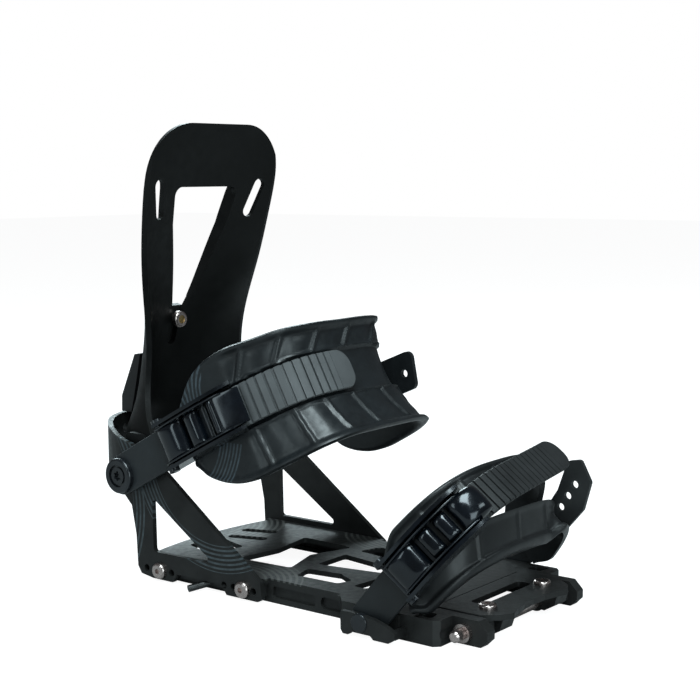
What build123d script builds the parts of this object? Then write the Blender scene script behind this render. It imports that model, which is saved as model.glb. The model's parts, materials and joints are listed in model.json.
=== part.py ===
from build123d import *
import math
import os

# One splitboard binding: +Z up, toe towards -Y, ladder and buckle side at -X.
# The origin is on the ground, under the middle of the binding.  Millimetres.

# Base
CHANNEL_HALF = 47.5        # half the width of the channel that slides over the pucks
RAIL_OUT = 51.5            # outer face of the side rails
HEEL_RAIL_OUT = 55.0       # outer face of the rails where the heelcup is bolted on
LIP = 3.0                  # inward lip at the foot of each rail, under the puck's flange
LIP_TOP = 2.4
DECK_TOP = 13.5
DECK_BOTTOM = 10.6
DECK_REAR = 93.0
DECK_FRONT = -105.5
TOE_OUT = 61.0             # outer face of the toe walls
TOE_REAR = -62.0
TOE_FRONT = -122.5
NOSE_FRONT = -143.5        # front end of the two noses that carry the touring pins
NOSE_IN = 41.3
NOSE_OUT = 48.0

# Heelcup: one bent sheet, two side plates joined by a hoop round the heel
CUP_OUT = 58.0
SHEET = 3.0
HOOP_Y = 100.0             # where the side plates end and the hoop begins
HOOP_DEPTH = 48.5          # from there to the back of the hoop
CUP_FRONT = -3.5
HUB_Y = 97.5               # pivot of the ankle strap and of the highback
HUB_Z = 61.0
NUT_IN = 47.6              # inner face of the hub nuts, on the boot's side
FRONT_HOLES = (24.7, 17.6, 10.2, 2.7)
REAR_HOLES = (86.0, 75.0, 65.8)
HOLE_Z = 6.2
CUP_SCREWS_Y = (10.2, 75.0)

# Touring pins and snap ramp
PIN_Y = -129.5
PIN_Z = 6.0
PIN_R = 3.2
PIN_TIP = 57.5
PIN_TIP_R = 3.1            # free end that turns in the touring bracket
TUBE_R = 4.0
TUBE_BORE = 3.26
COLLAR_R = 4.9
COLLAR_END = 50.5
RAMP_HALF = 40.6
RAMP_REAR = -107.0
RAMP_TOP = 14.0
RAMP_THICK = 3.0
RAMP_SCREW_X = 27.0
LEG_HALF = 6.0

# Ankle strap: an arch in a plane through the hub axis, tilted up from the toe
ANKLE_TILT = 28.5
ANKLE_HALF = 64.0          # half width of the arch at the middle of the ladder
ANKLE_REACH = 137.5        # from the hub axis to the top of the arch
ANKLE_POWER = 4.0
LADDER_THICK = 3.0
ANKLE_LADDER_HALF = 11.5
PAD_THICK = 7.0
ANKLE_TIP = -0.1           # angle along the arch at which the ladder ends
ANKLE_FAR_FACE = 65.5      # outer face of the far connector

# Toe strap: the same, round the toe of the boot
TOE_Y = -81.5
TOE_Z = 7.8
TOE_TILT = 50.0
TOE_YAW = 6.5              # the toe ladder climbs towards the far side
TOE_RISE = 6.8             # shift of the ladder across its width, which brings its near end to the bolt
TOE_HALF = 66.0
TOE_REACH = 87.5
TOE_POWER = 3.0
TOE_LADDER_HALF = 9.8
TOE_TAIL = 49.0            # the free end sticks straight out to here, past the top of the arch
TOE_FAR_FACE = 65.5
GUARD_IN = 69.1             # inner face of the guards outside the toe walls

# Highback
BACK_THICK = 4.0
BACK_TOP = 264.0
EAR_OUT = 54.0             # outer face of the ears, inside the side plates
LEAN_BOLT_Z = 146.0
RIM_DEPTH = 6.0             # how far the window's rim stands out behind the shell
RIM_FOOT = 156.0            # height at which the rim has run out
RIM_HEAD = 200.0            # height from which it is full


# ---------------------------------------------------------------- helpers

def block(x0, x1, y0, y1, z0, z1):
    """A box given by its two corners."""
    size = (x1 - x0, y1 - y0, z1 - z0)
    middle = ((x0 + x1) / 2, (y0 + y1) / 2, (z0 + z1) / 2)
    return Pos(*middle) * Box(*size)


def rod_x(x0, x1, y, z, radius):
    """A round bar along X."""
    return Pos((x0 + x1) / 2, y, z) * Rot(0, 90, 0) * Cylinder(radius, x1 - x0)


def rod_z(x, y, z0, z1, radius):
    """A round bar along Z."""
    return Pos(x, y, (z0 + z1) / 2) * Cylinder(radius, z1 - z0)


def rod_y(x, y0, y1, z, radius):
    """A round bar along Y."""
    return Pos(x, (y0 + y1) / 2, z) * Rot(90, 0, 0) * Cylinder(radius, y1 - y0)


def side_prism(points, x0, x1, corner=0.0):
    """An outline in Y and Z, extruded along X from x0 to x1."""
    plane = Plane(origin=(x0, 0, 0), x_dir=(0, 1, 0), z_dir=(1, 0, 0))
    sketch = make_face(Polyline(*points, close=True))
    if corner:
        sketch = fillet(sketch.vertices(), corner)
    return extrude(plane * sketch, amount=x1 - x0)


def block_face(x0, x1, y0, y1):
    """A rectangle given by its two corners."""
    return Pos((x0 + x1) / 2, (y0 + y1) / 2) * Rectangle(x1 - x0, y1 - y0)


def top_prism(points, z0, z1, corner=0.0):
    """An outline in X and Y, extruded up from z0 to z1."""
    sketch = make_face(Polyline(*points, close=True))
    if corner:
        sketch = fillet(sketch.vertices(), corner)
    return extrude(Pos(0, 0, z0) * sketch, amount=z1 - z0)


def both_sides(shape):
    """The shape and its mirror image in the mid plane."""
    return [shape, mirror(shape, about=Plane.YZ)]


def turned(points):
    """An outline's mirror image in X, in the same sense of turning."""
    return [(-x, y) for x, y in reversed(points)]


def fuse(shapes):
    """One solid from a list of touching shapes."""
    result = shapes[0]
    for shape in shapes[1:]:
        result = result + shape
    return result


def save(name, shapes):
    """Write one node, either a single solid or a group of separate solids."""
    solids = []
    for shape in shapes if isinstance(shapes, (list, tuple)) else [shapes]:
        solids.extend(shape.solids())
    body = solids[0] if len(solids) == 1 else Compound(children=solids)
    body.label = name
    export_step(body, f"parts/{name}.step")
    print(name, len(solids), round(sum(s.volume for s in solids)))


# ---------------------------------------------------------------- strap arches

def strap_plane(y, z, tilt, yaw=0.0):
    """Plane of a strap: local X across, local Y away from the pivot axis."""
    t = math.radians(tilt)
    normal = Vector(0, -math.sin(t), -math.cos(t))
    away = Vector(0, -math.cos(t), math.sin(t))
    across = Vector(1, 0, 0).rotate(Axis((0, 0, 0), away), yaw)
    normal = normal.rotate(Axis((0, 0, 0), away), yaw)
    return Plane(origin=(0, y, z), x_dir=across, z_dir=normal)


ANKLE_PLANE = strap_plane(HUB_Y, HUB_Z, ANKLE_TILT)
TOE_PLANE = strap_plane(TOE_Y, TOE_Z, TOE_TILT)
TOE_LADDER_PLANE = strap_plane(TOE_Y, TOE_Z, TOE_TILT, TOE_YAW).offset(-TOE_RISE)


def arch_point(half, reach, power, angle):
    """A point of a squarish arch: angle -90 is the near foot, +90 the far foot."""
    a = math.radians(angle)
    x = half * abs(math.sin(a)) ** (2 / power)
    s = reach * abs(math.cos(a)) ** (2 / power) if abs(angle) < 89.99 else 0.0
    return (math.copysign(x, angle), s)


def arch_line(half, reach, power, start, end):
    """Points along the arch, every 6 degrees or less."""
    count = max(2, math.ceil(abs(end - start) / 6))
    return [arch_point(half, reach, power, start + (end - start) * i / count)
            for i in range(count + 1)]


def arch_face(inner, outer, power, start, end):
    """The area between two arches, each given as (half width, reach)."""
    low = arch_line(*inner, power, start, end)
    high = arch_line(*outer, power, start, end)
    edges = [Spline(*low), Line(low[-1], high[-1]), Spline(*reversed(high)), Line(high[0], low[0])]
    return make_face(edges)


def band(plane, inner, outer, power, start, end, low, high):
    """A strip that follows an arch, from offset low to offset high across its width."""
    face = arch_face(inner, outer, power, start, end)
    return extrude(plane.offset(low) * face, amount=high - low)


def ankle_band(depth_in, depth_out, start, end, low, high):
    """A strip of the ankle strap, at depths measured out from the middle of the ladder."""
    inner = (ANKLE_HALF + depth_in, ANKLE_REACH + depth_in)
    outer = (ANKLE_HALF + depth_out, ANKLE_REACH + depth_out)
    return band(ANKLE_PLANE, inner, outer, ANKLE_POWER, start, end, low, high)


def toe_band(depth_in, depth_out, start, end, low, high):
    """The same for the toe strap's ladder and buckle."""
    inner = (TOE_HALF + depth_in, TOE_REACH + depth_in)
    outer = (TOE_HALF + depth_out, TOE_REACH + depth_out)
    return band(TOE_LADDER_PLANE, inner, outer, TOE_POWER, start, end, low, high)


def in_plane(plane, across, away, width):
    """World position of a local point of a strap plane."""
    return plane.from_local_coords(Vector(across, away, width))


def cross_pin(plane, across, away, width0, width1, radius):
    """A round pin that runs across the strap's width."""
    centre = in_plane(plane, across, away, (width0 + width1) / 2)
    return Plane(origin=centre, x_dir=plane.x_dir, z_dir=plane.z_dir) * Cylinder(radius, width1 - width0)


# ---------------------------------------------------------------- base

def rail():
    """The +X side rail with its lip, thick where the heelcup is bolted on."""
    y0, y1 = DECK_FRONT, 88.0
    wall = block(CHANNEL_HALF, RAIL_OUT, y0, y1, 0, DECK_BOTTOM)
    lip = block(CHANNEL_HALF - LIP, CHANNEL_HALF, y0, y1, 0, LIP_TOP)
    pad = block(RAIL_OUT, HEEL_RAIL_OUT, CUP_FRONT + 2, 90.0, 3.2, DECK_TOP)
    return fuse([wall, lip, pad])


def deck_outline():
    """Deck seen from above, with a bowed rear edge."""
    half = HEEL_RAIL_OUT
    corner_y = DECK_REAR - 7.0
    edges = [
        Line((half, DECK_FRONT), (half, corner_y)),
        ThreePointArc((half, corner_y), (0, DECK_REAR), (-half, corner_y)),
        Line((-half, corner_y), (-half, DECK_FRONT)),
        Line((-half, DECK_FRONT), (half, DECK_FRONT)),
    ]
    return make_face(edges)


def toe_wall():
    """Toe wall and nose on the +X side, joined to the rail."""
    wall = top_prism([(CHANNEL_HALF, TOE_REAR), (RAIL_OUT, TOE_REAR + 9), (TOE_OUT, TOE_REAR),
                      (TOE_OUT, TOE_FRONT + 3), (TOE_OUT - 3, TOE_FRONT), (CHANNEL_HALF, TOE_FRONT)],
                     0, DECK_TOP)
    nose = side_prism([(TOE_FRONT + 20, 0), (TOE_FRONT + 20, DECK_TOP), (NOSE_FRONT + 5, DECK_TOP),
                       (NOSE_FRONT, DECK_TOP - 5), (NOSE_FRONT, 4.0), (NOSE_FRONT + 4, 0)],
                      NOSE_IN, NOSE_OUT)
    ear = side_prism([(TOE_Y + 11, 2), (TOE_Y + 11, 12.5), (TOE_Y - 18, 12.5), (TOE_Y - 18, 2),
                      (TOE_Y - 12, 0.4), (TOE_Y + 6, 0.4)], TOE_OUT, TOE_OUT + 1.5)
    return fuse([wall, nose, ear])


def toe_pockets():
    """Pockets sunk in the toe wall's top and outer face, +X side."""
    front = top_prism([(50, -106), (58, -108), (58, -117), (50, -115)], 5, 20, 2.0)
    rear = top_prism([(49, -68), (57, -69), (57, -78), (52, -76)], 5, 20, 1.5)
    return [front, rear]


def deck_windows():
    """Weight-saving cut-outs through the deck."""
    z0, z1 = DECK_BOTTOM - 5, DECK_TOP + 5
    cuts = [
        top_prism([(-30, 39), (0, 34), (30, 39), (28, 1), (0, 10), (-28, 1)], z0, z1, 2.0),
        top_prism([(-13, -6), (13, -6), (6, -47), (-6, -47)], z0, z1, 2.0),
    ]
    slot = [(24, -8), (38, -12), (37, -40), (28, -43), (21, -30)]
    cuts += [top_prism(slot, z0, z1, 2.0), top_prism(turned(slot), z0, z1, 2.0)]
    wing = [(15, -52), (36, -50), (36, -58), (19, -66)]
    cuts += [top_prism(wing, z0, z1, 1.5), top_prism(turned(wing), z0, z1, 1.5)]
    for front, rear in (((29.5, 60.5), (21.5, 83.0)), ((12.5, 54.5), (5.0, 79.0))):
        for side in (-1, 1):
            cuts.append(radial_slot(front, rear, side))
    return cuts


def radial_slot(front, rear, side):
    """A slot of the fan in the deck's rear, from its front end to its rear end."""
    across, along = front[0] - rear[0], rear[1] - front[1]
    centre = Pos(side * (front[0] + rear[0]) / 2, (front[1] + rear[1]) / 2, DECK_BOTTOM - 2)
    lean = math.degrees(math.atan2(across, along))
    sketch = SlotOverall(math.hypot(across, along), 7.0, rotation=90 + side * lean)
    return extrude(centre * sketch, amount=8)


def rail_grooves():
    """Recesses in the outer face of the rails between heelcup and toe wall, +X side."""
    long_one = side_prism([(-6, 3), (-6, 9.5), (-36, 9.5), (-36, 3)], RAIL_OUT - 1.8, RAIL_OUT + 4, 1.5)
    short_one = side_prism([(-40, 3), (-40, 9.5), (-55, 9.5), (-55, 3)], RAIL_OUT - 1.8, RAIL_OUT + 4, 2.8)
    return [long_one, short_one]


def make_baseplate():
    """Deck, rails, toe walls and noses, machined from one piece."""
    deck = extrude(Pos(0, 0, DECK_BOTTOM) * deck_outline(), amount=DECK_TOP - DECK_BOTTOM)
    waist = block(RAIL_OUT, HEEL_RAIL_OUT + 5, TOE_REAR + 8, CUP_FRONT, 0, 20)
    body = fuse([deck] + both_sides(rail()) + both_sides(toe_wall()))
    cuts = both_sides(waist)
    for pocket in toe_pockets() + rail_grooves():
        cuts += both_sides(pocket)
    cuts += deck_windows()
    for y in FRONT_HOLES + REAR_HOLES:
        cuts.append(rod_x(-60, 60, y, HOLE_Z, 2.05))
    cuts += both_sides(rod_x(CHANNEL_HALF - 1, 70, TOE_Y, TOE_Z, 3.0))
    cuts += both_sides(rod_x(NOSE_IN - 2, NOSE_OUT + 2, PIN_Y, PIN_Z, TUBE_R + 0.02))
    cuts += both_sides(rod_x(NOSE_OUT, 70, PIN_Y, PIN_Z, COLLAR_R + 2.6))
    cuts.append(stop_wire_bar(2.05))
    return body - fuse_all(cuts)


def fuse_all(shapes):
    """All the cutting shapes as one list of solids."""
    return [solid for shape in shapes for solid in shape.solids()]


def stop_wire_bar(radius):
    """The straight bar that leaves the near rail at an angle, under the heelcup's notch."""
    start = Vector(-49.0, 37.5, 4.7)
    end = Vector(-65.5, 45.0, 2.3)
    length = (end - start).length
    middle = (start + end) * 0.5
    return Plane(origin=middle, z_dir=end - start) * Cylinder(radius, length)


# ---------------------------------------------------------------- heelcup and hub hardware

def cup_side_outline():
    """Side view of the bent sheet before its windows are cut."""
    return [(CUP_FRONT, 2.6), (CUP_FRONT + 3, 0.8), (22.7, 0.8), (27.0, 6.0), (61.0, 6.0), (65.0, 0.8),
            (81.0, 0.8), (90.5, 2.2), (93.3, 6.5), (94.2, 25.0), (97.6, 42.0), (104.0, 48.0), (113.0, 56.0),
            (124.0, 61.0), (HOOP_Y + HOOP_DEPTH + 1, 64.0), (HOOP_Y + HOOP_DEPTH + 1, 88.0), (137.0, 87.6),
            (122.0, 85.0), (108.0, 81.0), (96.0, 78.0), (84.5, 75.5), (68.0, 63.5), (-2.4, 12.0)]


def cup_block(half, depth, front):
    """Upright block with a half-oval back, as wide and as deep as the cup."""
    height = 110
    oval = extrude(Pos(0, HOOP_Y, 0) * Ellipse(half, depth), amount=height)
    back = oval & block(-half, half, HOOP_Y, HOOP_Y + depth, 0, height)
    return back + block(-half, half, front, HOOP_Y, 0, height)


def make_heelcup():
    """Two side plates and the hoop behind the heel, bent from one sheet."""
    inside = cup_block(CUP_OUT - SHEET, HOOP_DEPTH - SHEET, CUP_FRONT - 5)
    sheet = cup_block(CUP_OUT, HOOP_DEPTH, CUP_FRONT) - inside
    cup = sheet & side_prism(cup_side_outline(), -CUP_OUT - 1, CUP_OUT + 1, 0.7)
    window = side_prism([(80.5, 49.0), (80.0, 16.8), (32.0, 16.8)], -CUP_OUT - 5, CUP_OUT + 5, 2.0)
    cuts = [window, rod_x(-70, 70, HUB_Y, HUB_Z, 4.05)]
    for y in FRONT_HOLES + REAR_HOLES:
        cuts.append(rod_x(-70, 70, y, HOLE_Z, 2.05))
    for angle in (40, 56, 69, 81):
        a = math.radians(angle)
        centre = Vector(CUP_OUT * math.cos(a), HOOP_Y + HOOP_DEPTH * math.sin(a), 78)
        outward = Vector(math.cos(a) / CUP_OUT, math.sin(a) / HOOP_DEPTH, 0)
        cuts += both_sides(Plane(origin=centre, z_dir=outward) * Cylinder(2.7, 12))
    return cup - fuse_all(cuts)


def button_screw(x0, x1, y, z, shank, head_radius, head_height):
    """Button-head screw along X; the head sits outside x1 and has a hexagon socket."""
    shaft = rod_x(x0, x1, y, z, shank)
    head = rod_x(x1, x1 + head_height, y, z, head_radius)
    head = fillet(head.edges().filter_by(GeomType.CIRCLE).sort_by(Axis.X)[-1], head_height * 0.6)
    socket = extrude(Plane(origin=(x1 + head_height, y, z), z_dir=(1, 0, 0)) * RegularPolygon(1.7, 6),
                     amount=-head_height * 0.6)
    return (shaft + head) - socket


def make_heelcup_screws():
    """Two button screws on each side hold the heelcup to the rails."""
    screws = []
    for y in CUP_SCREWS_Y:
        screws += both_sides(button_screw(CHANNEL_HALF + 0.2, CUP_OUT, y, HOLE_Z, 2.0, 4.9, 2.8))
    return screws


def make_hub_bolts():
    """Dished bolt head outside the strap, shank through washer, plate and highback."""
    shank = rod_x(NUT_IN + 0.4, 66.5, HUB_Y, HUB_Z, 4.0)
    head = rod_x(66.0, 69.2, HUB_Y, HUB_Z, 10.4)
    head = fillet(head.edges().filter_by(GeomType.CIRCLE).sort_by(Axis.X)[-1], 1.4)
    dish = rod_x(67.8, 70.0, HUB_Y, HUB_Z, 6.6)
    button = rod_x(67.0, 68.9, HUB_Y, HUB_Z, 5.0)
    return both_sides(((shank + head) - dish + button) - star_socket(67.3, 70.0))


def star_socket(x0, x1):
    """Six-lobed driver socket along the hub axis."""
    lobes = [Pos(0, HUB_Y, HUB_Z) * Rot(60 * i, 0, 0) * rod_x(x0, x1, 0, 2.1, 0.85) for i in range(6)]
    return fuse([rod_x(x0, x1, HUB_Y, HUB_Z, 2.2)] + lobes)


def make_hub_washers():
    """Plastic washers between the side plates and the strap ends."""
    ring = rod_x(CUP_OUT, 62.3, HUB_Y, HUB_Z, 9.5) - rod_x(50, 70, HUB_Y, HUB_Z, 4.02)
    return both_sides(ring)


def make_hub_nuts():
    """Thin round nuts on the inner ends of the hub bolts."""
    ring = rod_x(NUT_IN, NUT_IN + 2.6, HUB_Y, HUB_Z, 8.0)
    return both_sides(ring - rod_x(40, 60, HUB_Y, HUB_Z, 4.02))


def make_toe_bolts():
    """Bolts that hold both ends of the toe strap to the toe walls."""
    shank = rod_x(CHANNEL_HALF + 2.0, 69.5, TOE_Y, TOE_Z, 2.95)
    head = rod_x(GUARD_IN, 72.5, TOE_Y, TOE_Z, 5.0)
    head = fillet(head.edges().filter_by(GeomType.CIRCLE).sort_by(Axis.X)[-1], 0.6)
    return both_sides(shank + head)


def make_toe_guards():
    """Brackets outside the toe walls; the strap's ends turn between them and the walls."""
    outline = [(-69.5, 2.6), (-69.5, 12.4), (-80, 12.6), (-91, 11.2), (-99, 8.9), (-104, 6.4), (-104, 3.2),
               (-100, 0.6), (-90.5, 0.6), (-88.5, 2.4), (-76.5, 2.4), (-74.5, 0.6), (-71, 0.6)]
    plate = side_prism(outline, GUARD_IN, GUARD_IN + 2.7, 0.8)
    rear = block(TOE_OUT + 1.5, GUARD_IN + 1, -72.4, -70.4, 2.4, 8.4)
    front = block(TOE_OUT, GUARD_IN + 1, -103.2, -100.8, 2.4, 7.0)
    return both_sides((plate + rear + front) - rod_x(GUARD_IN - 1, 75, TOE_Y, TOE_Z, 5.03))


# ---------------------------------------------------------------- touring pins and snap ramp

def make_cross_tube():
    """Tube across the front: it guides both touring pins, and the ramp turns on it."""
    tube = rod_x(-NOSE_OUT, NOSE_OUT, PIN_Y, PIN_Z, TUBE_R)
    return tube - rod_x(-60, 60, PIN_Y, PIN_Z, TUBE_BORE)


def make_pin_collars():
    """Stainless collars where the pins leave the noses."""
    ring = rod_x(NOSE_OUT, COLLAR_END, PIN_Y, PIN_Z, COLLAR_R) - rod_x(40, 60, PIN_Y, PIN_Z, TUBE_BORE)
    return both_sides(ring)


def touring_pin(side):
    """A pin with a stepped free end, and a groove that the ramp's cam moves."""
    inner = rod_x(24.0, COLLAR_END - 0.2, PIN_Y, PIN_Z, PIN_R)
    neck = rod_x(COLLAR_END - 0.3, COLLAR_END + 0.7, PIN_Y, PIN_Z, PIN_R - 0.4)
    pin = inner + neck + rod_x(COLLAR_END + 0.6, PIN_TIP, PIN_Y, PIN_Z, PIN_TIP_R)
    pin = chamfer(pin.edges().filter_by(GeomType.CIRCLE).sort_by(Axis.X)[-1], 0.9)
    groove = rod_x(30.0, 33.0, PIN_Y, PIN_Z, PIN_R + 1) - rod_x(29.0, 34.0, PIN_Y, PIN_Z, 2.4)
    pin = pin - groove
    return mirror(pin, about=Plane.YZ) if side < 0 else pin


def make_pin_spring():
    """Closed coil between the two pins, drawn as its solid envelope."""
    return rod_x(-12.0, 12.0, PIN_Y, PIN_Z, 2.8) - rod_x(-20, 20, PIN_Y, PIN_Z, 1.8)


def make_snap_ramp():
    """Flat ramp plate with a slot, two front lobes and a hollowed front edge."""
    front = -146.0
    half = [(0, RAMP_REAR), (RAMP_HALF, RAMP_REAR), (RAMP_HALF, -133.5), (34.0, -142.0), (27.0, front),
            (20.0, -144.0), (10.0, -141.8), (0, -141.0)]
    outline = half + [(-x, y) for x, y in reversed(half[1:-1])]
    plate = top_prism(outline, RAMP_TOP - RAMP_THICK, RAMP_TOP)
    slot = top_prism([(-24, -117), (24, -117), (24, -125.5), (-24, -125.5)], 5, 20, 2.5)
    holes = both_sides(rod_z(RAMP_SCREW_X, -130.0, 5, 20, 2.02))
    return plate - fuse_all([slot] + holes)


def make_ramp_legs():
    """Legs under the ramp that turn on the cross tube."""
    knuckle = 5.7
    profile = [(-143.0, 10.98), (-141.0, 5.0), (-135.0, 1.5), (-124.0, 3.5), (-121.5, 10.98)]
    x0, x1 = RAMP_SCREW_X - LEG_HALF, RAMP_SCREW_X + LEG_HALF
    leg = side_prism(profile, x0, x1) + rod_x(x0, x1, PIN_Y, PIN_Z, knuckle)
    leg = leg - rod_x(0, 60, PIN_Y, PIN_Z, TUBE_R + 0.05)
    return both_sides(leg & block(0, 60, -150, -110, 0.25, 10.98))


def make_ramp_hooks():
    """Slotted hooks beside the legs that lock the ramp shut."""
    outline = [(-139.0, 10.98), (-139.5, 4.5), (-136.5, 2.0), (-133.8, 2.0), (-134.6, 6.5), (-134.2, 10.98)]
    return both_sides(side_prism(outline, 35.0, 38.5))


def make_ramp_screws():
    """Silver button screws through the ramp into its legs."""
    shaft = rod_z(RAMP_SCREW_X, -130.0, RAMP_TOP - RAMP_THICK, RAMP_TOP, 2.0)
    head = rod_z(RAMP_SCREW_X, -130.0, RAMP_TOP, RAMP_TOP + 2.4, 4.7)
    head = fillet(head.edges().filter_by(GeomType.CIRCLE).sort_by(Axis.Z)[-1], 1.5)
    socket = extrude(Pos(RAMP_SCREW_X, -130.0, RAMP_TOP + 1) * RegularPolygon(1.5, 6), amount=3)
    return both_sides((shaft + head) - socket)


# ---------------------------------------------------------------- highback

BACK_STATIONS = (
    # height, half width, y of the side edges, y of the spine
    (72.0, 53.4, 86.0, 137.5),
    (92.0, 50.5, 91.0, 133.5),
    (112.0, 43.5, 99.0, 128.5),
    (132.0, 41.5, 99.5, 124.5),
    (156.0, 44.7, 97.3, 116.5),
    (182.0, 50.6, 92.5, 107.0),
    (210.0, 54.6, 87.0, 98.0),
    (234.0, 56.3, 82.0, 90.0),
    (254.0, 54.5, 78.0, 83.0),
    (BACK_TOP, 52.0, 75.5, 79.0),
)


def back_section(height, half, edge_y, spine_y, extra=0.0):
    """Horizontal slice of the highback: two arcs, a wall's thickness and any extra apart."""
    outer = [(-half, edge_y + extra), (0, spine_y + extra), (half, edge_y + extra)]
    inner_half = half - BACK_THICK * 0.85
    inner = [(inner_half, edge_y - 1.2), (0, spine_y - BACK_THICK), (-inner_half, edge_y - 1.2)]
    edges = [ThreePointArc(*outer), Line(outer[-1], inner[0]), ThreePointArc(*inner), Line(inner[-1], outer[0])]
    return Pos(0, 0, height) * make_face(edges)


def make_highback():
    """Curved back plate with a teardrop window, two side slots and pivot ears."""
    sections = [back_section(*station) for station in BACK_STATIONS]
    shell = loft(sections)
    front_view = Plane(origin=(0, 0, 0), x_dir=(1, 0, 0), z_dir=(0, -1, 0))
    outline = RectangleRounded(112, BACK_TOP * 2, 33)
    shell = shell & extrude(front_view * outline, amount=-200)
    thick = loft([back_section(*station, rim_depth(station[0])) for station in BACK_STATIONS])
    shell = shell + (thick & window_rim(front_view))
    cuts = [window_cut(front_view), slot_cut(front_view, 1), slot_cut(front_view, -1)]
    cuts.append(extrude(front_view * (Pos(0, 144) * SlotOverall(28, 6.4, rotation=90)), amount=-200))
    shell = shell - fuse_all(cuts)
    ears = both_sides(highback_ear())
    return fuse([shell] + ears) - rod_x(-60, 60, HUB_Y, HUB_Z, 4.06)


def highback_ear():
    """Flat ear inside the side plate, from the shell's lower corner to the hub."""
    return side_prism([(HUB_Y - 9, 52), (HUB_Y - 9, 70), (88.5, 84), (104.5, 84), (107.5, 70), (106.0, 52)],
                      EAR_OUT - 3.4, EAR_OUT, 2.5)


def window_cut(plane):
    """Teardrop opening, wide at the top and narrowing to the lean slot."""
    outline = [(-27, 227), (27, 227), (23, 205), (8, 160), (3.2, 146), (-3.2, 146), (-8, 160), (-23, 205)]
    corners = make_face(Polyline(*outline, close=True)).vertices()
    face = fillet(corners.filter_by(lambda corner: corner.Y > 220), 5)
    return extrude(plane * face, amount=-200)


def rim_depth(height):
    """The window's rim is deepest at the top and runs out above the lean block."""
    share = (height - RIM_FOOT) / (RIM_HEAD - RIM_FOOT)
    return RIM_DEPTH * min(1.0, max(0.0, share))


def window_rim(plane):
    """Where the wall behind the window's edge stands: down both sides, above the lean block."""
    right = make_face(Polyline((27.5, 229), (31.0, 226), (26.5, 204), (13.0, 160), (7.5, 160), (22.5, 206),
                               close=True))
    sides = [right, mirror(right, Plane.YZ)]
    return fuse([extrude(plane * face, amount=-200) for face in sides])


def slot_cut(plane, side):
    """Slanted lightening slot beside the window, its top leaning outwards."""
    slot = Pos(side * 40.5, 220) * SlotOverall(24, 7.6, rotation=90 - side * 17)
    return extrude(plane * slot, amount=-200)


def make_lean_block():
    """Wedge behind the highback that rests on the hoop, with a tongue up to its bolt."""
    wedge = [(126.6, 126.0), (131.5, 125.0), (143.5, 98.5), (143.8, 88.6), (135.4, 88.6), (130.4, 108.0)]
    tongue = [(130.7, 110.0), (127.3, 126.0), (118.4, 154.0), (122.4, 155.0), (131.5, 125.0), (138.0, 110.0)]
    body = side_prism(wedge, -21, 21, 0.8) + side_prism(tongue, -8, 8)
    recess = side_prism([(133.5, 116), (150, 116), (150, 98), (138.5, 98)], -6.5, 6.5)
    seat = rod_y(0, 123.8, 140, LEAN_BOLT_Z, 6.4)
    return body - fuse_all([recess, seat, rod_y(0, 100, 150, LEAN_BOLT_Z, 3.1)])


def make_lean_bolt():
    """Bolt through the slot, its broad head on the boot's side of the highback."""
    shank = rod_y(0, 113.0, 127.0, LEAN_BOLT_Z, 3.0)
    head = rod_y(0, 110.8, 113.8, LEAN_BOLT_Z, 5.2)
    head = fillet(head.edges().filter_by(GeomType.CIRCLE).sort_by(Axis.Y)[0], 1.2)
    return (shank + head) - rod_y(0, 110, 112.0, LEAN_BOLT_Z, 2.6)


def make_lean_plug():
    """Brass insert in the socket of the lean bolt."""
    return rod_y(0, 111.3, 112.0, LEAN_BOLT_Z, 2.55)


def make_lean_nut():
    """Knurled round nut behind the tongue."""
    return rod_y(0, 123.9, 127.0, LEAN_BOLT_Z, 6.0) - rod_y(0, 120, 130, LEAN_BOLT_Z, 3.02)


# ---------------------------------------------------------------- ankle strap

def round_tip(strip, plane, tip, half, radius):
    """The strip with the two corners of its free end rounded."""
    corners = [in_plane(plane, *tip, width) for width in (-half, half)]
    edges = [strip.edges().sort_by_distance(Vertex(*corner))[0] for corner in corners]
    return fillet(edges, radius)


def make_ankle_ladder():
    """Ladder strap from the near hub, through the buckle, to its free tip on the pad."""
    half = ANKLE_LADDER_HALF
    strip = ankle_band(-LADDER_THICK / 2, LADDER_THICK / 2, -89.99, ANKLE_TIP, -half, half)
    tip = arch_point(ANKLE_HALF, ANKLE_REACH, ANKLE_POWER, ANKLE_TIP)
    strip = round_tip(strip, ANKLE_PLANE, tip, half, 9.0)
    lug = rod_x(-ANKLE_HALF - 1.5, -ANKLE_HALF + 1.5, HUB_Y, HUB_Z, half)
    strip = strip + lug
    return strip - rod_x(-80, -50, HUB_Y, HUB_Z, 4.1)


def pad_section(plane, offset, half, reach, power, start, end, thick):
    """One slice of a moulded pad, in the strap plane moved sideways by offset."""
    return plane.offset(offset) * arch_face((half - thick, reach - thick), (half, reach), power, start, end)


def make_ankle_pad():
    """Moulded pad over the instep, flared at both edges."""
    half = ANKLE_HALF - 4.0
    reach = ANKLE_REACH - 4.0
    slices = ((-31.0, 8.0, 74.0), (-15.0, 1.5, 78.5), (0.0, 0.0, 79.0), (15.0, 1.5, 79.0), (29.0, 6.5, 78.0),
              (41.0, 14.0, 75.0))
    sections = [pad_section(ANKLE_PLANE, offset, half, reach + flare, ANKLE_POWER, -end, end, PAD_THICK)
                for offset, flare, end in slices]
    return loft(sections, ruled=True)


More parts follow.
